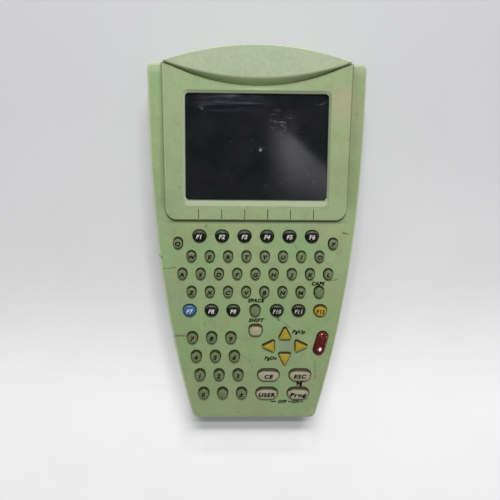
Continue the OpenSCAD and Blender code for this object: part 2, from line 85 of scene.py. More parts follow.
def area_light(name, at, target, size, power):
    data = bpy.data.lights.new(name, "AREA")
    data.shape = "RECTANGLE"
    data.size, data.size_y = size
    data.energy = power
    light = add_object(name, data)
    light.location = at
    light.rotation_euler = (Vector(target) - light.location).to_track_quat("-Z", "Y").to_euler()
    return light


def make_light():
    world = bpy.data.worlds.new("studio")
    world.use_nodes = True
    background = world.node_tree.nodes["Background"]
    background.inputs["Color"].default_value = (0.95, 0.97, 1.0, 1)
    background.inputs["Strength"].default_value = 0.2
    bpy.context.scene.world = world
    area_light("key_softbox", (0.01, 0.63, 0.9), (0, 0, 0), (0.36, 0.26), 9.8)
    overhead = area_light("overhead", (0.0, 0.1, 1.4), (0, 0, 0), (1.2, 1.2), 1.5)
    overhead.visible_glossy = False
    # Two small lights that only glint on glossy keys
    for name, place, size, power in (
        ("lamp", (0.13, -0.44, 0.7), 0.09, 0.5), ("strip", (0.66, -0.05, 0.42), 0.12, 0.6),
    ):
        glint = area_light(name, place, (0.03, -0.06, 0.04), (size, size), power)
        glint.visible_diffuse = False
    bpy.context.scene.view_settings.view_transform = "Standard"


def make_card(name, outline, height, strength, shaded=False):
    """A card over the stage that only shows in reflections. Its outline is in millimetres.

    A shaded card fades in along X, falls off again, and is brighter towards +X +Y.
    """
    mesh = bpy.data.meshes.new(name)
    mesh.from_pydata([(x * MM, y * MM, height) for x, y in outline], [], [tuple(range(len(outline)))])
    g = Graph(name)
    glow = g.node("ShaderNodeEmission", {"Color": (0.96, 0.92, 1.0, 1), "Strength": strength})
    if shaded:
        slant = g.math("ADD", g.axis("Y"), g.times(g.axis("X"), 0.6))
        g.set(glow, "Strength", g.times(
            g.along("X", 34, 92, 0.0, strength), g.along("X", 86, 125, 1.0, 0.65),
            g.span(slant, 17 * MM, 97 * MM, 0.2, 1.0),
        ))
    g.tree.links.new(glow.outputs[0], g.tree.nodes["Material Output"].inputs["Surface"])
    mesh.materials.append(g.material)
    card = add_object(name, mesh)
    for kind in ("camera", "diffuse", "shadow", "transmission", "volume_scatter"):
        setattr(card, "visible_" + kind, False)


def make_reflections():
    """What the window mirrors: the dark shape of whoever looks down on it, and a paler sleeve at one side."""
    make_card("dark_card", [(-170, -130), (230, -130), (230, 190), (-170, 190)], 0.80, 0.02)
    sleeve = [
        (40, -130), (230, -130), (230, -32), (175, -6), (149, 12), (133, 25), (119, 39), (102, 54), (85, 70),
        (70, 80), (56, 85), (40, 88),
    ]
    make_card("pale_card", sleeve, 0.79, 2.8, shaded=True)


# ---------------------------------------------------------------- material graphs
def rgb(red, green, blue):
    """A display colour, 0 to 255, as the linear colour that a shader takes."""
    def linear(v):
        v /= 255
        return v / 12.92 if v <= 0.04045 else ((v + 0.055) / 1.055) ** 2.4
    return (linear(red), linear(green), linear(blue), 1)


def scaled(color, factor, lift=0.0):
    return tuple(min(1, c * factor + lift) for c in color[:3]) + (1,)


class Graph:
    """A material and short calls that add nodes to it. A value is a number, a colour or a socket."""

    def __init__(self, name, **sockets):
        self.material = bpy.data.materials.new(name)
        self.material.use_nodes = True
        self.tree = self.material.node_tree
        self.shader = self.tree.nodes["Principled BSDF"]
        for socket, value in sockets.items():
            self.set(self.shader, socket.replace("_", " "), value)
        coordinates = self.node("ShaderNodeTexCoord").outputs
        self.place, self.facing_all = coordinates["Object"], coordinates["Normal"]

    def set(self, node, socket, value):
        target = node.inputs[socket]
        if isinstance(value, bpy.types.NodeSocket):
            self.tree.links.new(value, target)
        else:
            target.default_value = value

    def node(self, kind, inputs=None, **properties):
        made = self.tree.nodes.new(kind)
        for key, value in properties.items():
            setattr(made, key, value)
        for socket, value in (inputs or {}).items():
            self.set(made, socket, value)
        return made

    def math(self, operation, a, b=0.0, clamp=False):
        return self.node("ShaderNodeMath", {0: a, 1: b}, operation=operation, use_clamp=clamp).outputs[0]

    def times(self, *values):
        """The product of all the values."""
        product = values[0]
        for value in values[1:]:
            product = self.math("MULTIPLY", product, value)
        return product

    def vector(self, operation, a, b):
        second = "Scale" if operation == "SCALE" else 1
        made = self.node("ShaderNodeVectorMath", {0: a, second: b}, operation=operation)
        return made.outputs["Value" if operation in ("DISTANCE", "DOT_PRODUCT") else "Vector"]

    def noise(self, size, detail=2, roughness=0.5, place=None, distortion=0.0):
        """Noise with features about that many metres across."""
        return self.node("ShaderNodeTexNoise", {
            "Vector": place or self.place, "Scale": 1 / size, "Detail": detail,
            "Roughness": roughness, "Distortion": distortion,
        }).outputs["Fac"]

    def stretch(self, factors, turn=0.0):
        """The place, turned about Z and scaled along each axis."""
        return self.node("ShaderNodeMapping", {
            "Vector": self.place, "Rotation": (0, 0, turn), "Scale": factors,
        }).outputs[0]

    def span(self, value, low, high, to_low=0.0, to_high=1.0):
        """Value from low..high, smoothly to to_low..to_high."""
        return self.node("ShaderNodeMapRange", {
            "Value": value, "From Min": low, "From Max": high, "To Min": to_low, "To Max": to_high,
        }, interpolation_type="SMOOTHSTEP").outputs[0]

    def blend(self, share, a, b):
        """Colour a, or b where share is 1. The Mix node's colour sockets are 6, 7 and 2."""
        return self.node("ShaderNodeMix", {"Factor": share, 6: a, 7: b}, data_type="RGBA").outputs[2]

    def paint(self, color, tint, *shares):
        """The colour, covered by a tint as far as the product of the shares."""
        return self.blend(self.times(*shares), color, tint)

    def axis(self, letter):
        return self.node("ShaderNodeSeparateXYZ", {0: self.place}).outputs[letter]

    def along(self, letter, low, high, to_low=0.0, to_high=1.0, base=0.0):
        """span of the place along one axis, where low and high are millimetres from the base."""
        return self.span(self.axis(letter), base + low * MM, base + high * MM, to_low, to_high)

    def aside(self):
        """Distance from the middle plane."""
        return self.math("ABSOLUTE", self.axis("X"))

    def facing(self, letter):
        """How far the surface faces along one axis, -1 to 1."""
        return self.node("ShaderNodeSeparateXYZ", {0: self.facing_all}).outputs[letter]

    def turned(self, letter, *ends):
        """span of how far the surface faces along one axis."""
        return self.span(self.facing(letter), *ends)

    def spot(self, at, radius):
        """1 in the middle of a soft round spot, 0 at its rim. Both numbers are in millimetres."""
        return self.span(self.vector("DISTANCE", self.place, [v * MM for v in at]), radius * MM, 0.0)

    def specks(self, scale, size, share):
        """Small dots in a share of the cells of a pattern."""
        cells = self.node("ShaderNodeTexVoronoi", {"Vector": self.place, "Scale": scale})
        pick = self.node("ShaderNodeSeparateColor", {0: cells.outputs["Color"]}).outputs[0]
        return self.times(self.span(cells.outputs["Distance"], *size), self.span(pick, *share))

    def hairline(self, a, b, width, place):
        """1 on the line from a to b over the keypad face, seen from above. Millimetres."""
        start = Vector((*a, 0)) * MM
        run = Vector((*b, 0)) * MM - start
        from_start = self.vector("SUBTRACT", place, start)
        along = self.math("MULTIPLY", self.vector("DOT_PRODUCT", from_start, run),
                          1 / run.length_squared, clamp=True)
        gap = self.vector("DISTANCE", from_start, self.vector("SCALE", run, along))
        return self.span(gap, width * MM, 0.2 * width * MM)

    def bump(self, height, distance, strength, below=None):
        """A bumpy normal, on top of the one below."""
        inputs = {"Height": height, "Distance": distance, "Strength": strength}
        if below:
            inputs["Normal"] = below
        return self.node("ShaderNodeBump", inputs).outputs[0]

    def finish(self, color, roughness, normal=None):
        self.set(self.shader, "Base Color", color)
        self.set(self.shader, "Roughness", roughness)
        if normal:
            self.set(self.shader, "Normal", normal)
        return self.material


# ---------------------------------------------------------------- materials
SAGE = rgb(147, 167, 117)
SAGE_GREEN = rgb(137, 166, 113)
FRAME_SAGE = rgb(148, 166, 119)
FRAME_GREEN = rgb(142, 166, 117)
CAP_SAGE = rgb(168, 179, 148)
CAP_GREEN = rgb(164, 180, 146)
OLIVE = rgb(142, 150, 104)
TAN = rgb(172, 158, 122)
GREY_STAIN = rgb(126, 138, 118)
PALE_SAGE = rgb(168, 186, 142)
# Pale of worn edges, with painted highlight on them and on the bumpers' tops
PALE_WEAR_AND_HIGHLIGHT = rgb(214, 220, 192)
# Dark olive for painted shadow and shade along the display frame and on edges facing the lower end
PAINTED_SHADE_OLIVE = rgb(64, 78, 36)
DIRT = rgb(58, 62, 38)
INK = rgb(8, 9, 4)
GOLD = rgb(214, 178, 96)
# Stains on the front: place and radius in millimetres, colour, strength
STAINS = [
    ((0, 87, 45), 20, PALE_SAGE, 0.75), ((49, 78, 45), 15, TAN, 0.75), ((52, 52, 45), 12, TAN, 0.2),
    ((50, 36, 45), 18, OLIVE, 0.35), ((60, 60, 36), 14, GREY_STAIN, 0.5), ((-56, 20, 43), 24, GREY_STAIN, 0.35),
    ((0, -104, 43), 34, OLIVE, 0.5), ((-34, -96, 43), 22, OLIVE, 0.5), ((44, 4, 43), 14, TAN, 0.35),
    ((-38, 3, 43), 12, OLIVE, 0.5), ((34, -84, 43), 16, OLIVE, 0.4), ((-4, 3, 43), 12, TAN, 0.25),
    ((22, -34, 43), 16, OLIVE, 0.35), ((17.9, -63.6, 43), 11, GREY_STAIN, 0.55),
    ((-48, -34, 43), 16, GREY_STAIN, 0.4), ((-15, -73, 43), 12, OLIVE, 0.35), ((48, -30, 43), 14, OLIVE, 0.4),
]
# Hairline scratches and marks on the front: two ends and a width, millimetres
HAIRLINES = [
    ((50.6, 4.6), (53.4, 3.4), 0.8), ((19.6, 3.2), (25.0, -6.5), 0.45),
    ((-54.2, -17.4), (-47.0, -16.4), 0.6), ((-57.2, -8.2), (-54.6, -10.8), 0.7),
    ((-47.5, -57.6), (-41.4, -57.4), 0.9), ((-10.6, -68.0), (-3.6, -72.4), 0.45),
    ((-3.6, -72.4), (-1.4, -77.0), 0.4), ((36.2, -73.4), (36.8, -84.2), 0.5),
    ((-30.0, -49.5), (-29.7, -51.0), 0.5), ((44.5, -24.0), (48.6, -23.2), 0.5),
    ((-29.0, 7.6), (-28.4, 8.6), 0.8), ((12.0, -45.2), (14.6, -47.6), 1.3),
    ((17.0, -49.0), (21.5, -53.8), 0.4), ((-44.0, -92.0), (-40.6, -97.4), 0.5),
    ((50.4, 30.0), (51.0, 38.6), 0.6),
]


def moulded_green(name, marks, first=SAGE, second=SAGE_GREEN, pale=0.0, spread=1.0):
    """Satin moulded plastic: two greens, stains and specks, and the marks of its own piece, some of them
    painted light and shade.
    """
    g = Graph(name)
    patch = g.noise(0.009, 4, 0.6)
    color = g.blend(g.span(g.noise(0.035, 3, 0.6), 0.4, 0.62), first, second)
    color = g.paint(color, OLIVE, g.span(patch, 0.48, 0.68), 0.55 * spread)
    veil = g.span(g.noise(0.02, 3, 0.6, g.stretch((1, 1, 1), 0.7)), 0.55, 0.72)
    color = g.paint(color, TAN, veil, 0.35 * spread)
    color = g.paint(color, rgb(104, 122, 82), g.span(g.noise(0.0022, 3, 0.6), 0.3, 0.7), 0.16)
    if pale:
        color = g.paint(color, rgb(196, 204, 178), pale)
    color = marks(g, color, patch)
    color = g.paint(color, DIRT, g.specks(210, (0.13, 0.05), (0.8, 0.86)), 0.6)
    grain = g.bump(g.noise(0.0005, 2, 0.6), 0.00004, 0.35)
    dents = g.bump(g.noise(0.006, 3, 0.6), 0.00012, 0.25, grain)
    return g.finish(color, g.span(g.noise(0.012, 3, 0.6), 0.3, 0.7, 0.42, 0.6), dents)


def stains(g, color, patch):
    for at, radius, tint, strength in STAINS:
        color = g.paint(color, tint, g.spot(at, radius), g.span(patch, 0.25, 0.6, 0.35, 1), strength)
    return color


def hairlines(g, color):
    """Thin broken scratches, each a little off its straight line."""
    wobble = g.node("ShaderNodeTexNoise", {"Vector": g.place, "Scale": 260, "Detail": 2}).outputs["Color"]
    shift = g.vector("SCALE", g.vector("SUBTRACT", wobble, (0.5, 0.5, 0.5)), 1.6 * MM)
    flat = g.vector("MULTIPLY", g.vector("ADD", g.place, shift), (1, 1, 0))
    marks = 0.0
    for a, b, width in HAIRLINES:
        marks = g.math("MAXIMUM", marks, g.hairline(a, b, width, flat))
    broken = g.span(g.noise(0.0016, 2, 0.6), 0.32, 0.55)
    return g.paint(color, DIRT, marks, g.along("Z", 38, 41), broken, 0.72)


def worn_lit_and_shaded_edges(g, color):
    """Paler where the side turns over to the keypad face, from wear and a painted highlight, and painted shade
    where that edge faces the lower end.
    """
    upper = g.along("Z", 38, 41.5)
    less_at_bumpers = g.along("Y", 88, 96, 0.95, 0.475)
    # Wear and painted highlight on the rounded edge, more on the left
    color = g.paint(color, PALE_WEAR_AND_HIGHLIGHT, g.turned("Z", 0.985, 0.6), upper, less_at_bumpers)
    more_on_left = g.turned("X", 0.03, -0.03, 0.06, 0.3)
    color = g.paint(color, PALE_WEAR_AND_HIGHLIGHT, g.turned("Z", 0.9995, 0.94), upper, more_on_left)
    # Painted shade on the edge where it faces the lower end
    return g.paint(color, PAINTED_SHADE_OLIVE, g.turned("Y", -0.62, -0.92), upper, 0.85)


def front_marks(g, color, patch):
    """Stains, hairlines, a darker lower end, painted shadow and shade along the display frame, and a painted
    highlight on the bumpers' tops.
    """
    color = stains(g, color, patch)
    color = g.paint(color, rgb(112, 128, 88), g.along("Y", 20, -100, 0.0, 0.22))
    # Painted shadow along the frame: below its foot, and painted shade beside it on the bumpers, wider on the
    # right one
    low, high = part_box("display_frame")
    foot = g.times(g.along("Y", -2.5, -1.0, base=low.y), g.along("Z", 43.2, 43.4))
    color = g.paint(color, PAINTED_SHADE_OLIVE, foot, g.span(g.aside(), high.x, high.x - 8 * MM), 0.75)
    reach = g.along("X", -1, 1, high.x + 2.2 * MM, high.x + 8.5 * MM)
    beside = g.span(g.aside(), reach, high.x + 0.2 * MM)
    color = g.paint(color, PAINTED_SHADE_OLIVE, beside, g.along("Y", 2, 12, base=low.y), 0.28)
    # Painted highlight on the bumpers' rounded tops
    bumper_top_highlight = g.times(g.along("Y", 92, 97), g.span(g.aside(), 53 * MM, 55 * MM))
    color = g.paint(color, PALE_WEAR_AND_HIGHLIGHT, bumper_top_highlight, g.along("Z", 32, 41), 0.2)
    return hairlines(g, worn_lit_and_shaded_edges(g, color))


def frame_marks(g, color, patch):
    """Stains, a painted highlight on the bevel round the window with painted shade at its inner edge, and a
    painted shadow below the cap.
    """
    color = stains(g, color, patch)
    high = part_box("display_frame")[1]
    # The bevel's half width, lower end and upper end, each a little further out for its rounded edge
    bevel_x, bevel_low, bevel_high = 42.2 * MM, 19.4 * MM, 85.0 * MM
    inside = g.times(g.span(g.aside(), bevel_x + 0.1 * MM, bevel_x), g.along("Y", -0.1, 0, base=bevel_low),
                     g.along("Y", 0.1, 0, base=bevel_high))
    lower = g.along("Y", 4.4, 3.8, base=bevel_low)
    at_sides = g.span(g.aside(), bevel_x - 2.0 * MM, bevel_x - 1.5 * MM)
    # The bevel's colour is painted light: lighter on the left side, darker on the right, palest along the top,
    # duller along its lower end
    sides = g.blend(g.along("X", -1, 1), rgb(206, 216, 190), rgb(170, 182, 150))
    rubbed = g.blend(lower, g.blend(at_sides, rgb(226, 240, 198), sides), rgb(160, 172, 140))
    color = g.paint(color, rubbed, g.along("Z", -0.15, -0.35, base=high.z), inside, 0.85)
    # Painted shade down in the gap between the bevel and the window
    color = g.paint(color, rgb(30, 34, 20), g.along("Z", 43.9, 43.3), inside, 0.85)
    # The cap's lower arc, from its lowest point and its corners, which lie a crown's height below its top
    cap_low, cap_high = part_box("top_cap")
    crown = 8.6 * MM
    half, sag = cap_high.x, cap_high.y - crown - cap_low.y
    radius = (half ** 2 + sag ** 2) / (2 * sag)
    from_middle = g.vector("DISTANCE", g.vector("MULTIPLY", g.place, (1, 1, 0)), (0, cap_low.y + radius, 0))
    # Painted shadow on the frame just below the cap's lower arc
    shade = g.span(g.math("SUBTRACT", from_middle, radius), 1.9 * MM, -0.2 * MM)
    return g.paint(color, rgb(78, 94, 52), shade, 0.55)


def cap_marks(g, color, _patch):
    """Duller on the slope below the cap's top, and a pale rim, palest where it faces the lower end."""
    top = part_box("top_cap")[1].z
    color = g.paint(color, rgb(168, 188, 134), g.along("Z", -0.9, -0.6, 0.9, 0.0, base=top))
    rubbed = g.blend(g.turned("Y", 0.1, -0.1), rgb(206, 214, 190), rgb(234, 246, 204))
    rim = g.times(g.turned("Z", 0.97, 0.6), g.along("Z", -0.75, -0.5, base=top))
    return g.paint(color, rubbed, rim, 0.9)


def rear_marks(g, color, _patch):
    """Scuffs on what the back rests on, and greyer towards the seam between the covers."""
    scuffs = g.span(g.noise(0.003, 4, 0.7, g.stretch((1, 0.25, 1), 0.5)), 0.52, 0.66)
    color = g.paint(color, rgb(178, 188, 158), g.along("Z", 2.4, 0.2), scuffs, 0.35)
    return g.paint(color, GREY_STAIN, g.along("Z", 24, 26.6), 0.35)


def key_plastic(name, top, grime_and_shade=rgb(38, 48, 18), rough=(0.34, 0.5), lit=None, specular=0.4, waver=0.1):
    """A moulded key: its top's colour, and grime with painted shade round its edge, most on the side towards
    the display.

    A key with a lit colour shows a painted highlight there instead, and its grime and painted shade start lower
    down.
    """
    g = Graph(name, Specular_IOR_Level=specular)
    patch = g.noise(0.0025, 3, 0.6)
    uneven = g.span(patch, 0.3, 0.7, -waver, waver)
    upright = g.math("ADD", g.facing("Z"), uneven)
    toward_top = g.math("ADD", g.facing("Y"), uneven)
    color = g.paint(top, scaled(top, 1.25, 0.01), g.span(patch, 0.45, 0.75), 0.5)
    if lit:
        # Painted highlight on the key's upper rounding
        color = g.paint(color, lit, g.span(toward_top, 0.22, 0.5), 0.85)
        dirt_and_shade = g.along("Z", 45.0, 44.7)
    else:
        dirt_and_shade = g.math("MAXIMUM", g.span(toward_top, 0.3, 0.52), g.span(upright, 0.62, 0.36))
    # Grime and painted shade on the key's sides, most on the side towards the display
    color = g.paint(color, grime_and_shade, dirt_and_shade, 0.94)
    return g.finish(color, g.span(patch, 0.3, 0.7, *rough), g.bump(g.noise(0.0006, 2, 0.5), 0.00004, 0.3))


def printed_ink(name, color, worn, wear, specular=0.1):
    g = Graph(name, Specular_IOR_Level=specular)
    share = g.span(g.noise(0.0008, 3, 0.65), 0.5, 0.72, 0, wear)
    return g.finish(g.blend(share, color, worn), g.span(share, 0, 1, 0.4, 0.6))


def clear_window():
    """Scratched clear window over the dark display: nearly black, dusty and glossy."""
    g = Graph("window_black", Specular_IOR_Level=0.4)
    cloudy = g.noise(0.016, 3, 0.6)
    color = g.blend(g.span(cloudy, 0.35, 0.7), rgb(24, 26, 27), rgb(33, 33, 36))
    # Long wiped smears near the top edge, and short ones elsewhere
    streaks = g.noise(0.003, 4, 0.65, g.stretch((0.12, 1.3, 1), 0.03), 0.4)
    top_band = g.times(g.spot((-14, 79, 42), 26), g.along("Y", 71, 78))
    color = g.paint(color, rgb(120, 120, 140), g.span(streaks, 0.34, 0.8), top_band, 0.5)
    rubbed = g.noise(0.0022, 4, 0.7, g.stretch((0.5, 1.2, 1), -0.2), 0.6)
    for at, radius, strength in (
        ((14, 68, 42), 9, 0.5), ((14, 61, 42), 7, 0.35), ((4, 55, 42), 6, 0.3), ((-31, 75, 42), 4, 0.5),
        ((36, 77, 42), 5, 0.4), ((31, 34, 42), 7, 0.25),
    ):
        color = g.paint(color, rgb(150, 152, 160), g.spot(at, radius), g.span(rubbed, 0.52, 0.7), strength)
    chip = g.spot((2.2, 51.6, 42), 1.3)
    color = g.paint(color, rgb(170, 172, 178), chip, 0.75)
    color = g.paint(color, rgb(140, 142, 150), g.specks(420, (0.16, 0.05), (0.78, 0.9)), 0.3)
    scratches = g.bump(g.noise(0.0016, 3, 0.7, g.stretch((0.06, 1, 1), 0.4)), 0.00001, 0.25)
    return g.finish(color, g.span(cloudy, 0.3, 0.7, 0.06, 0.1), scratches)


def metal(name, color, rough):
    """Turned or drawn metal with fine lines along Z."""
    g = Graph(name, Metallic=1.0)
    dull = g.span(g.noise(0.003, 3, 0.6), 0.35, 0.7)
    lines = g.bump(g.noise(0.0006, 2, 0.6, g.stretch((1, 1, 8))), 0.00002, 0.3)
    tone = g.paint(color, scaled(color, 0.55), dull, 0.45)
    return g.finish(tone, g.span(dull, 0, 1, rough, rough + 0.22), lines)


def port_socket():
    """A nickel barrel round a black insert with gold pins."""
    g = Graph("port_socket")
    low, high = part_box("port_socket")
    # The insert's radius, and how far its face and the tips of its pins lie from the socket's inner end
    insert, face, tips = 5.1 * MM, 1.45 * MM, 4.25 * MM
    axis = (0, 0, (low.z + high.z) / 2)
    from_axis = g.vector("DISTANCE", g.vector("MULTIPLY", g.place, (1, 0, 1)), axis)
    past_tips = g.math("GREATER_THAN", g.axis("Y"), high.y - tips)
    inside = g.times(g.math("LESS_THAN", from_axis, insert), past_tips)
    pins = g.times(inside, g.math("LESS_THAN", g.axis("Y"), high.y - face))
    dull = g.span(g.noise(0.003, 3, 0.6), 0.35, 0.7)
    nickel = g.paint(rgb(176, 178, 176), rgb(120, 124, 120), dull, 0.4)
    tone = g.blend(pins, g.blend(inside, nickel, rgb(26, 27, 29)), GOLD)
    g.set(g.shader, "Metallic", g.math("SUBTRACT", 1.0, g.math("SUBTRACT", inside, pins)))
    lines = g.bump(g.noise(0.0006, 2, 0.6, g.stretch((1, 8, 1))), 0.00002, 0.3)
    return g.finish(tone, g.span(dull, 0, 1, 0.28, 0.45), lines)


def rubber(name, color, rough=0.75):
    g = Graph(name)
    dust = g.span(g.noise(0.004, 4, 0.6), 0.42, 0.72, 0, 0.35)
    tone = g.blend(dust, color, rgb(120, 120, 112))
    return g.finish(tone, rough, g.bump(g.noise(0.0004, 2, 0.5), 0.00003, 0.4))


def circuit_board():
    """Green solder mask with traces and pads, and dark chips on the lower board."""
    g = Graph("circuit_board")
    flat = g.stretch((1, 1, 0))
    brick = g.node("ShaderNodeTexBrick", {
        "Vector": flat, "Color1": rgb(30, 92, 60), "Color2": rgb(34, 104, 66), "Mortar": rgb(58, 132, 84),
        "Scale": 260, "Mortar Size": 0.012, "Brick Width": 0.9, "Row Height": 0.3,
    })
    pads = g.node("ShaderNodeTexVoronoi", {"Vector": flat, "Scale": 300, "Randomness": 0.6})
    color = g.blend(g.span(pads.outputs["Distance"], 0.14, 0.1), brick.outputs["Color"], rgb(196, 184, 150))
    # The chips stand between the lower board's top and the upper board's underside
    over_lower_board = g.along("Z", 31.7, 31.8)
    upper_board = g.along("Z", 34.5, 34.6)
    color = g.blend(g.math("SUBTRACT", over_lower_board, upper_board, clamp=True), color, rgb(36, 37, 39))
    traces = g.bump(brick.outputs["Fac"], 0.00003, 0.5)
    return g.finish(color, g.span(g.noise(0.003), 0.3, 0.7, 0.3, 0.5), traces)


def woven(name, color, light, across=0.0011, along=0.0016):
    """Plain-woven webbing: ribs across and yarns along, with fuzz and dust."""
    g = Graph(name, Sheen_Weight=0.25, Sheen_Roughness=0.5)
    x = g.times(g.axis("X"), 2 * math.pi / across)
    y = g.times(g.axis("Y"), 2 * math.pi / along)
    weave = g.times(g.math("SINE", x), g.math("SINE", y))
    ribs = g.math("ADD", weave, g.times(g.math("SINE", y), 0.6))
    fuzz = g.noise(0.0005, 3, 0.7)
    tone = g.blend(g.span(ribs, -1.2, 1.4, 0, 0.8), color, light)
    tone = g.blend(g.span(g.noise(0.011, 3, 0.6), 0.5, 0.75, 0, 0.35), tone, rgb(104, 100, 90))
    height = g.math("ADD", ribs, g.times(fuzz, 0.8))
    return g.finish(tone, g.span(fuzz, 0.3, 0.7, 0.75, 0.95), g.bump(height, 0.00018, 0.6))


def plain_plastic(name, color):
    g = Graph(name)
    patch = g.noise(0.006, 4, 0.6)
    tone = g.blend(g.span(patch, 0.4, 0.75, 0, 0.5), color, scaled(color, 1.6, 0.01))
    return g.finish(tone, g.span(patch, 0.3, 0.7, 0.37, 0.55), g.bump(g.noise(0.0005), 0.00003, 0.3))


def battery_wrap():
    """Heat-shrunk cells: a dark film with faint ripples over the round cells beneath."""
    g = Graph("battery_wrap", Coat_Weight=0.12, Coat_Roughness=0.35)
    swell = g.math("SINE", g.times(g.axis("X"), 2 * math.pi / (19 * MM)))
    ripples = g.noise(0.005, 3, 0.6, g.stretch((1, 0.25, 1)))
    tone = g.blend(g.span(ripples, 0.35, 0.7), rgb(34, 38, 44), rgb(52, 58, 66))
    height = g.math("ADD", g.times(swell, 0.5), ripples)
    return g.finish(tone, g.span(ripples, 0.3, 0.7, 0.45, 0.6), g.bump(height, 0.0005, 0.4))


def display_glass():
    g = Graph("display_cell", Coat_Weight=0.6, Coat_Roughness=0.05)
    cloudy = g.noise(0.02, 2, 0.5)
    rim = g.along("Z", 39.9, 40.1)
    tone = g.blend(g.span(cloudy, 0.35, 0.7), rgb(30, 34, 34), rgb(42, 46, 44))
    return g.finish(g.blend(rim, tone, rgb(120, 124, 126)), g.span(cloudy, 0.3, 0.7, 0.2, 0.35))


MATERIALS = {
    "housing": moulded_green("housing_green", front_marks),
    "housing_worn": moulded_green("housing_edge", front_marks, pale=0.3),
    "frame": moulded_green("frame_green", frame_marks, FRAME_SAGE, FRAME_GREEN),
    "frame_worn": moulded_green("frame_edge", frame_marks, FRAME_SAGE, FRAME_GREEN, 0.25),
    "cap": moulded_green("cap_green", cap_marks, CAP_SAGE, CAP_GREEN, spread=0.35),
    "cap_worn": moulded_green("cap_edge", cap_marks, CAP_SAGE, CAP_GREEN, 0.3, 0.35),
    "rear": moulded_green("rear_green", rear_marks),
    "rear_worn": moulded_green("rear_edge", rear_marks, pale=0.34),
    "window": clear_window(),
    "lcd": display_glass(),
    "seal": rubber("seal_rubber", rgb(40, 42, 38)),
    "silicone": rubber("mat_silicone", rgb(86, 90, 84), 0.6),
    "circuit_board": circuit_board(),
    "black_plastic": plain_plastic("connector_plastic", rgb(34, 35, 37)),
    "battery": battery_wrap(),
    "contacts": metal("contact_gold", GOLD, 0.25),
    "port_metal": port_socket(),
    "steel": metal("screw_steel", rgb(166, 168, 170), 0.3),
    "brass": metal("insert_brass", rgb(190, 156, 92), 0.3),
    "webbing": woven("strap_webbing", rgb(26, 27, 29), rgb(58, 60, 62)),
    "pad": woven("pad_cloth", rgb(32, 34, 36), rgb(70, 72, 72), 0.0007, 0.0007),
    "thread": woven("stitch_thread", rgb(70, 72, 74), rgb(110, 112, 112), 0.0004, 0.0004),
    "key_green": key_plastic("key_green", rgb(106, 118, 80)),
    "key_digit": key_plastic("key_digit", rgb(103, 115, 76)),
    "key_plain": key_plastic("key_plain", rgb(100, 112, 70)),
    "key_black": key_plastic("key_black", rgb(14, 15, 10), rgb(18, 22, 10), (0.3, 0.45),
                             rgb(84, 90, 66), 0.25),
    "key_blue": key_plastic("key_blue", rgb(46, 92, 140), rgb(24, 42, 46), (0.3, 0.45),
                            rgb(80, 112, 136), 0.25),
    "key_ochre": key_plastic("key_ochre", rgb(168, 140, 32), rgb(60, 52, 14)),
    "key_yellow": key_plastic("key_yellow", rgb(160, 141, 34), rgb(56, 46, 12)),
    "key_cream": key_plastic("key_cream", rgb(160, 156, 128), rgb(56, 50, 24), waver=0.03),
    "key_red": key_plastic("key_red", rgb(88, 9, 3), rgb(44, 12, 6), (0.08, 0.16), rgb(138, 52, 42), 0.6),
    "ink_black": printed_ink("ink_black", INK, rgb(30, 34, 18), 0.4),
    "ink_white": printed_ink("ink_white", rgb(208, 208, 198), rgb(120, 122, 112), 0.6, 0.5),
}


# ---------------------------------------------------------------- CAD nodes that stay
def give_finish(node, *finishes):
    """Gives a CAD node its finish in place of its plain one."""
    mesh = nodes[node].data
    mesh.materials.clear()
    for finish in finishes:
        mesh.materials.append(MATERIALS[finish])
    mesh.polygons.foreach_set("material_index", [0] * len(mesh.polygons))


def soften(node, width, finish, worn):
    """Rounds a CAD node's hard edges with modifiers and gives the rounded strips a worn finish."""
    obj = nodes[node]
    mesh = obj.data
    if "custom_normal" in mesh.attributes:
        mesh.attributes.remove(mesh.attributes["custom_normal"])
    mesh.polygons.foreach_set("use_smooth", [True] * len(mesh.polygons))
    mesh.edges.foreach_set("use_edge_sharp", [False] * len(mesh.edges))
    give_finish(node, finish, worn)
    weld = obj.modifiers.new("weld", "WELD")
    weld.merge_threshold = 0.001 * MM
    planar = obj.modifiers.new("planar", "DECIMATE")
    planar.decimate_type = "DISSOLVE"
    planar.angle_limit = math.radians(0.4)
    bevel = obj.modifiers.new("bevel", "BEVEL")
    bevel.width = width * MM
    bevel.segments = 2
    bevel.limit_method = "ANGLE"
    bevel.angle_limit = math.radians(28)
    bevel.harden_normals = True
    bevel.material = 1
    obj.modifiers.new("weighted", "WEIGHTED_NORMAL")


def finish_case():
    soften("front_cover", 0.14, "housing", "housing_worn")
    soften("display_frame", 0.4, "frame", "frame_worn")
    soften("top_cap", 0.3, "cap", "cap_worn")
    soften("rear_cover", 0.2, "rear", "rear_worn")
    soften("battery_door", 0.25, "rear", "rear_worn")
    for node, finish in (
        ("housing_seal", "seal"), ("display_window", "window"), ("window_gasket", "seal"),
        ("lcd_module", "lcd"), ("keypad_mat", "silicone"), ("keypad_board", "circuit_board"),
        ("main_board", "circuit_board"), ("board_connector", "black_plastic"), ("battery_pack", "battery"),
        ("battery_contacts", "contacts"), ("door_lock", "steel"), ("port_socket", "port_metal"),
        ("strap_bars", "steel"), ("bracket_inserts", "brass"), ("case_screws", "steel"),
    ):
        give_finish(node, finish)


# ---------------------------------------------------------------- mesh helpers
def new_object(name, mesh, body, finishes):
    obj = add_object(name, mesh)
    for finish in finishes:
        mesh.materials.append(MATERIALS[finish])
    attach(obj, body)
    return obj


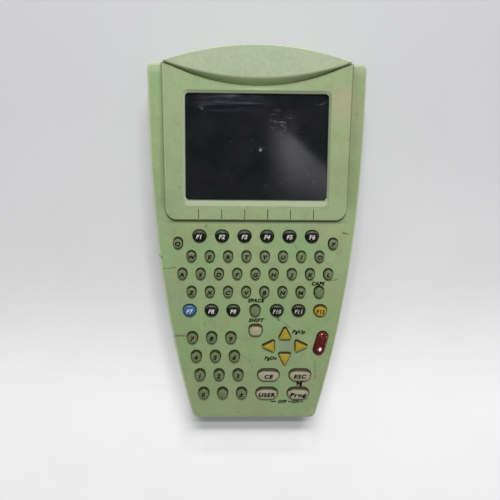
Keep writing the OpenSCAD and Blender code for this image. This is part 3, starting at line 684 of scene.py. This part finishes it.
class Shell:
    """Points and faces of one piece, gathered part by part."""

    def __init__(self):
        self.points, self.faces, self.tints, self.smooth = [], [], [], []

    def rings(self, rings, tint=0, smooth=True):
        """A closed skin through rings of equal length; the end rings close on their own middles."""
        first = len(self.points)
        count = len(rings[0])
        for ring in rings:
            self.points += [tuple(p) for p in ring]
        for r in range(len(rings) - 1):
            for i in range(count):
                j = (i + 1) % count
                a, b = first + r * count, first + (r + 1) * count
                self.add((a + i, a + j, b + j, b + i), tint, smooth)
        last = first + (len(rings) - 1) * count
        for ring, base, flip in ((rings[0], first, True), (rings[-1], last, False)):
            middle = len(self.points)
            self.points.append(tuple(sum((Vector(p) for p in ring), Vector()) / count))
            for i in range(count):
                j = (i + 1) % count
                face = (middle, base + j, base + i) if flip else (middle, base + i, base + j)
                self.add(face, tint, smooth)

    def add(self, face, tint, smooth):
        self.faces.append(face)
        self.tints.append(tint)
        self.smooth.append(smooth)

    def take(self, mesh, tint):
        """Adds a whole mesh, flat shaded."""
        first = len(self.points)
        self.points += [tuple(v.co) for v in mesh.vertices]
        for polygon in mesh.polygons:
            self.add(tuple(first + v for v in polygon.vertices), tint, False)

    def mesh(self, name, sharp_angle=40):
        made = bpy.data.meshes.new(name)
        made.from_pydata(self.points, [], self.faces)
        made.polygons.foreach_set("material_index", self.tints)
        made.polygons.foreach_set("use_smooth", self.smooth)
        made.set_sharp_from_angle(angle=math.radians(sharp_angle))
        made.update()
        return made


# A capital's height over the font's size
CAPITAL = 0.729
# The lettering's thickness, and how finely it is cut to follow a key
INK_DEPTH = 0.04 * MM
LETTER_GRID = 0.5 * MM


def cut_on_grid(mesh, step):
    """Cuts a mesh along X and Y lines a step apart, so that it can follow a curved surface."""
    # The lines lie a little off whole steps, where the lettering's own points often are
    off = 0.003 * MM
    work = bmesh.new()
    work.from_mesh(mesh)
    for axis in (0, 1):
        ends = [v.co[axis] for v in work.verts] or [0.0]
        normal = Vector((axis == 0, axis == 1, 0))
        for i in range(math.floor(min(ends) / step) + 1, math.ceil(max(ends) / step)):
            everything = work.verts[:] + work.edges[:] + work.faces[:]
            bmesh.ops.bisect_plane(work, geom=everything, plane_co=normal * (i * step + off), plane_no=normal)
    work.to_mesh(mesh)
    work.free()


def letters(text, height, at, surface, wide, bold, spacing, shear=0.22):
    """Printed lettering as a thin solid that follows surface(x, y), in metres. height is a capital's."""
    curve = bpy.data.curves.new("lettering", "FONT")
    curve.body = text
    curve.align_x = "CENTER"
    curve.space_character = spacing
    curve.size = height / CAPITAL
    curve.shear = shear
    curve.offset = bold * height
    curve.extrude = INK_DEPTH / 2
    curve.resolution_u = 3
    obj = add_object("lettering", curve)
    mesh = bpy.data.meshes.new_from_object(obj.evaluated_get(bpy.context.evaluated_depsgraph_get()))
    bpy.data.objects.remove(obj)
    for v in mesh.vertices:
        v.co.x *= wide
    cut_on_grid(mesh, LETTER_GRID)
    width_shift = shear * height / 2 * wide
    for v in mesh.vertices:
        x, y = at[0] + (v.co.x - width_shift), at[1] + v.co.y - height / 2
        v.co = (x, y, surface(x, y) + v.co.z + INK_DEPTH / 2)
    return mesh


# ---------------------------------------------------------------- key outlines
RING = 48


def rounded_box(w, h, r):
    """Points round a box, w across and h along, with corners of radius r."""
    points = []
    for i in range(RING):
        a = math.tau * (i + 0.5) / RING
        c, s = math.cos(a), math.sin(a)
        points.append((r * c + math.copysign(w / 2 - r, c), r * s + math.copysign(h / 2 - r, s)))
    return points


def stadium(size, inset):
    """A round-ended outline, drawn in by inset."""
    w, h = size[0] - 2 * inset, size[1] - 2 * inset
    return rounded_box(w, h, min(w, h) / 2)


def soft_square(size, inset):
    return rounded_box(size[0] - 2 * inset, size[1] - 2 * inset, 3 * MM - inset)


# An arrow key that points along +Y, in millimetres: the middles of its round corners with the degrees that
# each turns from and to, their radius, and how far the key's middle lies above their origin
ARROW_CORNERS = [((0, 2.9), 27, 153), ((-2.7, -2.6), 153, 270), ((2.7, -2.6), 270, 387)]
ARROW_RADIUS = 1.3
ARROW_MIDDLE = 0.15


def triangle(_size, inset):
    r = ARROW_RADIUS * MM - inset
    points = []
    per_corner = RING // 3
    for (x, y), start, end in ARROW_CORNERS:
        for i in range(per_corner):
            a = math.radians(start + (end - start) * (i + 0.5) / per_corner)
            points.append((x * MM + r * math.cos(a), (y - ARROW_MIDDLE) * MM + r * math.sin(a)))
    return points


# Where an outline's first point lies, so that the socket below is not twisted against it
OUTLINE_START = {triangle: math.radians(30)}


# ---------------------------------------------------------------- keys
# From a key's hole in to its side, and out to its flange; the flange's height; the socket's radius and depth
KEY_GAP = 0.45 * MM
FLANGE = 0.15 * MM
FLANGE_HEIGHT = 1.0 * MM
SOCKET_RADIUS, SOCKET_DEPTH = 1.9 * MM, 1.1 * MM


def crown(at, top, radius):
    """Height of a key's domed top over the point (x, y)."""
    def height(x, y):
        reach = min((x - at[0]) ** 2 + (y - at[1]) ** 2, radius ** 2 * 0.9)
        return top - radius + math.sqrt(radius ** 2 - reach)
    return height


def add_key(shell, at, size, z, outline, turn, dome=16 * MM, edge=1.15 * MM):
    """One key in a shell: socket, flange, straight side, rounded edge and domed top. size is its hole's."""
    low, top = z
    surface = crown(at, top, dome)
    spin = Matrix.Rotation(turn, 2)

    def ring(inset, height=None, drop=0.0, share=1.0):
        points = []
        for p in outline(size, inset):
            x, y = spin @ Vector(p) * share
            x, y = x + at[0], y + at[1]
            points.append((x, y, surface(x, y) - drop if height is None else height))
        return points

    def socket_ring(height):
        start = turn + OUTLINE_START.get(outline, 0.0)
        angles = [start + math.tau * (i + 0.5) / RING for i in range(RING)]
        r = SOCKET_RADIUS
        return [(at[0] + r * math.cos(a), at[1] + r * math.sin(a), height) for a in angles]

    steps = 7
    rounded = []
    for k in range(steps):
        a = math.pi / 2 * k / (steps - 1)
        rounded.append(ring(KEY_GAP + edge * (1 - math.cos(a)), drop=edge * (1 - math.sin(a))))
    shoulder = low + FLANGE_HEIGHT
    foot = [socket_ring(low + SOCKET_DEPTH), socket_ring(low), ring(-FLANGE, low), ring(-FLANGE, shoulder)]
    dome_rings = [ring(KEY_GAP + edge, share=s) for s in (0.75, 0.5, 0.25)]
    shell.rings(foot + [ring(KEY_GAP, shoulder)] + rounded + dome_rings)
    return surface


def islands(node):
    """Lowest and highest corners of each separate solid in a CAD node, left to right."""
    mesh = bmesh.new()
    mesh.from_mesh(nodes[node].data)
    bmesh.ops.remove_doubles(mesh, verts=mesh.verts, dist=0.001 * MM)
    left, found = set(mesh.verts), []
    while left:
        queue, seen = [left.pop()], []
        while queue:
            v = queue.pop()
            seen.append(v.co.copy())
            for e in v.link_edges:
                other = e.other_vert(v)
                if other in left:
                    left.remove(other)
                    queue.append(other)
        low = Vector(min(c[k] for c in seen) for k in range(3))
        high = Vector(max(c[k] for c in seen) for k in range(3))
        found.append((low, high))
    mesh.free()
    return sorted(found, key=lambda pair: pair[0].x)


def make_keys(node, texts, finish, slot, ink="ink_black", height=2.0, wide=1.15, bold=0.08, spacing=1.0,
              outline=stadium, size=None, turn=0.0, **shape):
    """One piece for a key's body, or for a row of letter keys, with its printing."""
    shell = Shell()
    for (low, high), text in zip(islands(node), texts):
        centre = (low + high) / 2
        at = (centre.x, centre.y)
        hole = size or (high.x - low.x - 2 * FLANGE, high.y - low.y - 2 * FLANGE)
        surface = add_key(shell, at, hole, (low.z, high.z), outline, turn, **shape)
        if text:
            printed = (at[0], at[1] - 0.2 * MM)
            shell.take(letters(text, height * MM, printed, surface, wide, bold, spacing), 1)
    made = new_object(node + "_cap", shell.mesh(node), node, [finish, ink])
    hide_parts(node)


def make_keypad():
    for i in range(1, 13):
        finish = {7: "key_blue", 12: "key_ochre"}.get(i, "key_black")
        ink = "ink_black" if i == 12 else "ink_white"
        wide, spacing = (0.9, 1.12) if i > 9 else (1.05, 1.0)
        bold = {10: 0.015, 11: 0.015, 12: 0.045}.get(i, 0.035)
        make_keys(f"key_f{i}", [f"F{i}"], finish, finish, ink, 2.5, wide, bold, spacing)
    for node, texts in (("keys_row_q", "QWERTYUIOP"), ("keys_row_a", "ASDFGHJKL"), ("keys_row_z", "ZXCVBNM")):
        make_keys(node, texts, "key_green", "key_green", height=2.35, bold=0.068, edge=0.95 * MM)
    for name, text in [(digit, digit) for digit in "7894561230"] + [("point", "."), ("sign", "±")]:
        make_keys("key_" + name, [text], "key_digit", "key_green", height=2.65, bold=0.057, edge=1.05 * MM)
    for node in ("key_space", "key_caps"):
        make_keys(node, [""], "key_plain", "key_green", edge=1.0 * MM)
    make_keys("key_shift", [""], "key_cream", "key_cream", outline=soft_square, dome=22 * MM, edge=1.5 * MM)
    for text, wide in (("CE", 1.2), ("ESC", 1.22), ("USER", 1.2), ("Prog", 1.4)):
        make_keys("key_" + text.lower(), [text], "key_cream", "key_cream", height=2.3, wide=wide, bold=0.085,
                  spacing=1.2, dome=30 * MM, edge=1.7 * MM)
    for i, name in enumerate(("up", "left", "down", "right")):
        make_keys("key_" + name, [""], "key_yellow", "key_yellow", outline=triangle, size=(0, 0),
                  turn=math.pi / 2 * i, edge=0.75 * MM)
    make_keys("key_enter", [""], "key_red", "key_red", size=(7.3 * MM, 15.6 * MM), turn=math.radians(-15),
              dome=30 * MM, edge=1.6 * MM)


# ---------------------------------------------------------------- printing on the case
def plate(shell, low, high):
    """A thin printed bar or block between two corners."""
    corners = [(low[0], low[1]), (high[0], low[1]), (high[0], high[1]), (low[0], high[1])]
    shell.rings([[(x, y, z) for x, y in corners] for z in (low[2], high[2])], smooth=False)


def make_printing():
    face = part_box("front_cover")[1].z
    shell = Shell()
    for text, height, wide, bold, x, y in (
        ("CAPS", 2.15, 0.98, 0.095, 37, -25.7), ("SPACE", 2.15, 1.02, 0.095, 0.6, -36.0),
        ("SHIFT", 2.15, 1.05, 0.085, 0.8, -48), ("PgUp", 2.1, 1.12, 0.078, 26.3, -55),
        ("PgDn", 2.1, 1.06, 0.078, 9.7, -71.3), ("OFF", 1.95, 1.0, 0.085, 17.0, -98.6),
        ("ON", 1.95, 1.0, 0.085, 24.9, -98.6),
    ):
        printed = letters(text, height * MM, (x * MM, y * MM), lambda x, y: face, wide, bold, 1.14, 0.3)
        shell.take(printed, 0)
    # Dashes beside the words, and a small blocky sign
    top = face + 0.03 * MM
    for x, y, w, h in (
        (11.6, -98.6, 3.2, 0.7), (21.4, -98.6, 1.8, 0.7), (28.6, -98.6, 1.6, 0.7), (26.0, -86.2, 1.6, 1.3),
        (28.2, -86.4, 1.6, 1.5), (27.0, -87.3, 3.2, 0.9), (27.9, -88.4, 1.5, 1.4), (25.9, -88.3, 1.1, 0.8),
    ):
        plate(shell, ((x - w / 2) * MM, (y - h / 2) * MM, face), ((x + w / 2) * MM, (y + h / 2) * MM, top))
    new_object("printed_labels", shell.mesh("printed_labels"), "case", ["ink_black"])


def make_tick_marks():
    """Dark fill in the six short grooves over the soft keys."""
    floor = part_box("display_frame")[1].z - 0.3 * MM
    count, pitch, half_width, fill = 6, 13.2 * MM, 0.19 * MM, 0.12 * MM
    shell = Shell()
    for i in range(count):
        x = (i - (count - 1) / 2) * pitch
        plate(shell, (x - half_width, 12.3 * MM, floor), (x + half_width, 17.9 * MM, floor + fill))
    new_object("tick_marks", shell.mesh("tick_marks"), "case", ["ink_black"])


# ---------------------------------------------------------------- hand strap
STRAP_WIDTH = 34 * MM
STRAP_THICK = 1.6 * MM
# Height of the strap's middle at its lowest, its clearance round a bar, and where its tails start and end
STRAP_LOW = 2.4 * MM
BAR_GAP = 0.15 * MM
TAIL = (11 * MM, 22 * MM)
PAD_WIDTH = 44 * MM
PAD_Y = (-66 * MM, 7 * MM)
# The sleeve's sewn edge, as shares of its half width and of its half length
SEAM = (0.88, 0.93)


def strap_bars():
    """(y, z, radius) of the lower and the upper bar."""
    found = []
    for low, high in islands("strap_bars"):
        centre = (low + high) / 2
        found.append((centre.y, centre.z, (high.z - low.z) / 2))
    return sorted(found)


def strap_run():
    """Height of the strap's middle at y, between the two bars."""
    (y0, z0, r), (y1, _, _) = strap_bars()
    middle, half = (y0 + y1) / 2, (y1 - y0) / 2
    high = z0 - r - BAR_GAP - STRAP_THICK / 2
    return lambda y: STRAP_LOW + (high - STRAP_LOW) * abs((y - middle) / half) ** 3


def strap_path():
    """The webbing's centreline as (y, z): a tail, round one bar, the run, round the other bar, a tail."""
    run = strap_run()
    (y0, z0, r), (y1, z1, _) = strap_bars()
    reach = r + BAR_GAP + STRAP_THICK / 2
    over = STRAP_THICK + 0.1 * MM

    def end(y, z, side):
        stops = [y - side * (TAIL[0] + (TAIL[1] - TAIL[0]) * k / 4) for k in range(4, -1, -1)]
        turn = [math.radians(a) for a in range(125, -90, -15)]
        loop = [(y + side * reach * math.cos(a), z + reach * math.sin(a)) for a in turn]
        return [(stop, run(stop) + over) for stop in stops] + loop

    steps = 40
    between = [y0 + (y1 - y0) * i / steps for i in range(steps + 1)]
    return end(y0, z0, -1) + [(y, run(y)) for y in between] + list(reversed(end(y1, z1, 1)))


def make_strap():
    path = strap_path()
    half = STRAP_WIDTH / 2
    # Across the webbing: distance from its edge and half thickness, with a sewn groove along each side
    profile = [
        (0.0, 0.35), (0.3, 0.72), (0.8, 0.8), (1.6, 0.8), (1.9, 0.64), (2.3, 0.64), (2.6, 0.8), (9.0, 0.8),
    ]
    left = [(-half + d * MM, t * MM) for d, t in profile]
    upper = left + [(-x, t) for x, t in reversed(left)]
    outline = upper + [(x, -t) for x, t in reversed(upper)]
    shell = Shell()
    rings, length = [], 0.0
    for i, (y, z) in enumerate(path):
        before, after = path[max(i - 1, 0)], path[min(i + 1, len(path) - 1)]
        along = Vector((after[0] - before[0], after[1] - before[1])).normalized()
        rings.append([(x, y - along.y * t, z + along.x * t) for x, t in outline])
        if i:
            length += math.dist(path[i - 1], path[i])
    shell.rings(rings)
    strap = new_object("strap_webbing", shell.mesh("strap_webbing"), "case", ["webbing"])
    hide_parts("hand_strap")


def pad_half_thickness(u, v):
    """Half thickness of the sleeve at u across and v along, both from -1 to 1: crowned, with sewn channels."""
    swell = (1 - abs(u) ** 6) * (1 - abs(v) ** 10)
    channel = sum(math.exp(-((abs(v) - c) / 0.018) ** 2) for c in (0.3, SEAM[1])) * 0.45
    channel += math.exp(-((abs(u) - SEAM[0]) / 0.03) ** 2) * 0.45
    return (0.55 + 1.3 * swell * (1 - min(channel, 0.8))) * MM


def pad_place(u, v, run):
    """(x, y, z) of the sleeve's middle surface."""
    round_off = max(0.0, (abs(v) - 0.86) / 0.14)
    half = PAD_WIDTH / 2 - 6 * MM * (1 - math.sqrt(max(0.0, 1 - round_off ** 2)))
    y = (PAD_Y[0] + PAD_Y[1]) / 2 + v * (PAD_Y[1] - PAD_Y[0]) / 2
    return u * half, y, run(y)


def make_pad():
    """The padded sleeve that the strap runs through."""
    run = strap_run()
    across, along = 44, 72
    shell = Shell()
    rings = []
    for j in range(along + 1):
        v = -1 + 2 * j / along
        us = [-1 + 2 * i / across for i in range(across + 1)]
        ring = []
        for side, order in ((1, us), (-1, list(reversed(us)))):
            for u in order:
                x, y, z = pad_place(u, v, run)
                ring.append((x, y, z + side * pad_half_thickness(u, v)))
        rings.append(ring)
    shell.rings(rings)
    pad = new_object("strap_pad", shell.mesh("strap_pad", 60), "case", ["pad"])
    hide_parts("hand_strap")


def make_stitches():
    """Thread along the sleeve's sewn edge, on both faces."""
    run = strap_run()
    shell = Shell()
    corners = [(x * SEAM[0], y * SEAM[1]) for x, y in ((-1, -1), (1, -1), (1, 1), (-1, 1))]
    size = Vector((PAD_WIDTH / 2, (PAD_Y[1] - PAD_Y[0]) / 2))
    for k in range(4):
        a, b = Vector(corners[k]), Vector(corners[(k + 1) % 4])
        edge = Vector(((b - a).x * size.x, (b - a).y * size.y))
        heading = edge.normalized()
        count = round(edge.length / (2.6 * MM))
        for i in range(count):
            at = a + (b - a) * (i + 0.5) / count
            x, y, z = pad_place(at.x, at.y, run)
            for side in (1, -1):
                lift = side * (pad_half_thickness(at.x, at.y) + 0.02 * MM)
                rings = []
                for s, r in ((-0.9, 0.06), (-0.7, 0.2), (0, 0.24), (0.7, 0.2), (0.9, 0.06)):
                    ring = []
                    for q in range(6):
                        t = math.tau * q / 6
                        out = Vector((heading.x * s * MM - heading.y * r * MM * math.cos(t),
                                      heading.y * s * MM + heading.x * r * MM * math.cos(t)))
                        ring.append((x + out.x, y + out.y, z + lift + r * MM * math.sin(t)))
                    rings.append(ring)
                shell.rings(rings)
    new_object("pad_stitches", shell.mesh("pad_stitches"), "case", ["thread"])


# ---------------------------------------------------------------- stage
def painted_light_beside_walls(g):
    """Painted light given off close to the case's tapered sides, lifting their shadow, more so on the right
    towards the lower end.
    """
    # From the bumpers to the lower end, each side comes in by the taper times that power of the way down
    bumper_top, side_taper, taper_power = 98 * MM, 24.7 * MM, 2.37
    down = g.math("DIVIDE", g.math("SUBTRACT", bumper_top, g.axis("Y")), bumper_top - cad_low.y, clamp=True)
    half_width = g.math("SUBTRACT", cad_high.x, g.times(g.math("POWER", down, taper_power), side_taper))
    away = g.math("SUBTRACT", g.aside(), half_width)
    close = g.times(g.span(away, 13 * MM, 4 * MM), g.span(away, -1 * MM, 2 * MM))
    strip = g.times(close, g.along("Y", 96, 70), g.along("Y", -8, 14, base=cad_low.y))
    on_right = g.math("GREATER_THAN", g.axis("X"), 0.0)
    right = g.times(on_right, g.along("Y", 60, -40, 0.02, 0.15))
    left = g.times(g.math("SUBTRACT", 1.0, on_right), 0.08)
    return g.times(strip, g.math("ADD", right, left))


def painted_floor_light(g):
    """Painted light that the paper gives off, lifting the case's shadows: a wide ramp beside the case, and
    short ones below its lower end.
    """
    end = cad_low.y
    wide = g.along("Y", -10, -130, 0.0, 0.24)
    short = g.math("ADD", g.along("Y", -20.4, -22.4, 0.0, 0.19, base=end),
                   g.along("Y", -25.0, -29.0, 0.0, 0.3, base=end))
    short = g.times(short, g.along("Y", -30, -44, 1.0, 0.5, base=end))
    open_floor = g.span(g.aside(), 30 * MM, 47 * MM)
    glow = g.math("ADD", g.times(open_floor, wide), g.times(g.math("SUBTRACT", 1.0, open_floor), short))
    right = g.times(g.along("X", 40, 110), g.along("Y", 60, -20), 0.03)
    return g.math("ADD", g.math("ADD", glow, right), painted_light_beside_walls(g))


def make_floor():
    """A sheet of pale paper, with painted shade that greys it towards the top end, and painted light given off
    as emission.
    """
    mesh = bpy.data.meshes.new("floor")
    half, z = 4.0, cad_low.z - 0.1 * MM
    corners = [(x * half, y * half, z) for x, y in ((-1, -1), (1, -1), (1, 1), (-1, 1))]
    mesh.from_pydata(corners, [], [(0, 1, 2, 3)])
    g = Graph("floor_paper", Emission_Color=(1, 1, 1, 1))
    color = g.blend(g.along("Y", -160, 160), rgb(236, 235, 236), rgb(205, 205, 207))
    color = g.paint(color, rgb(206, 202, 206), g.span(g.noise(0.05, 3, 0.6), 0.4, 0.7, 0, 0.12))
    # Painted light: the paper glows where the case's shadows should be lighter
    g.set(g.shader, "Emission Strength", painted_floor_light(g))
    mesh.materials.append(g.finish(color, 0.9))
    floor = add_object("floor", mesh)


make_camera()
make_light()
finish_case()
make_keypad()
make_printing()
make_tick_marks()
make_strap()
make_pad()
make_stitches()
make_floor()
make_reflections()
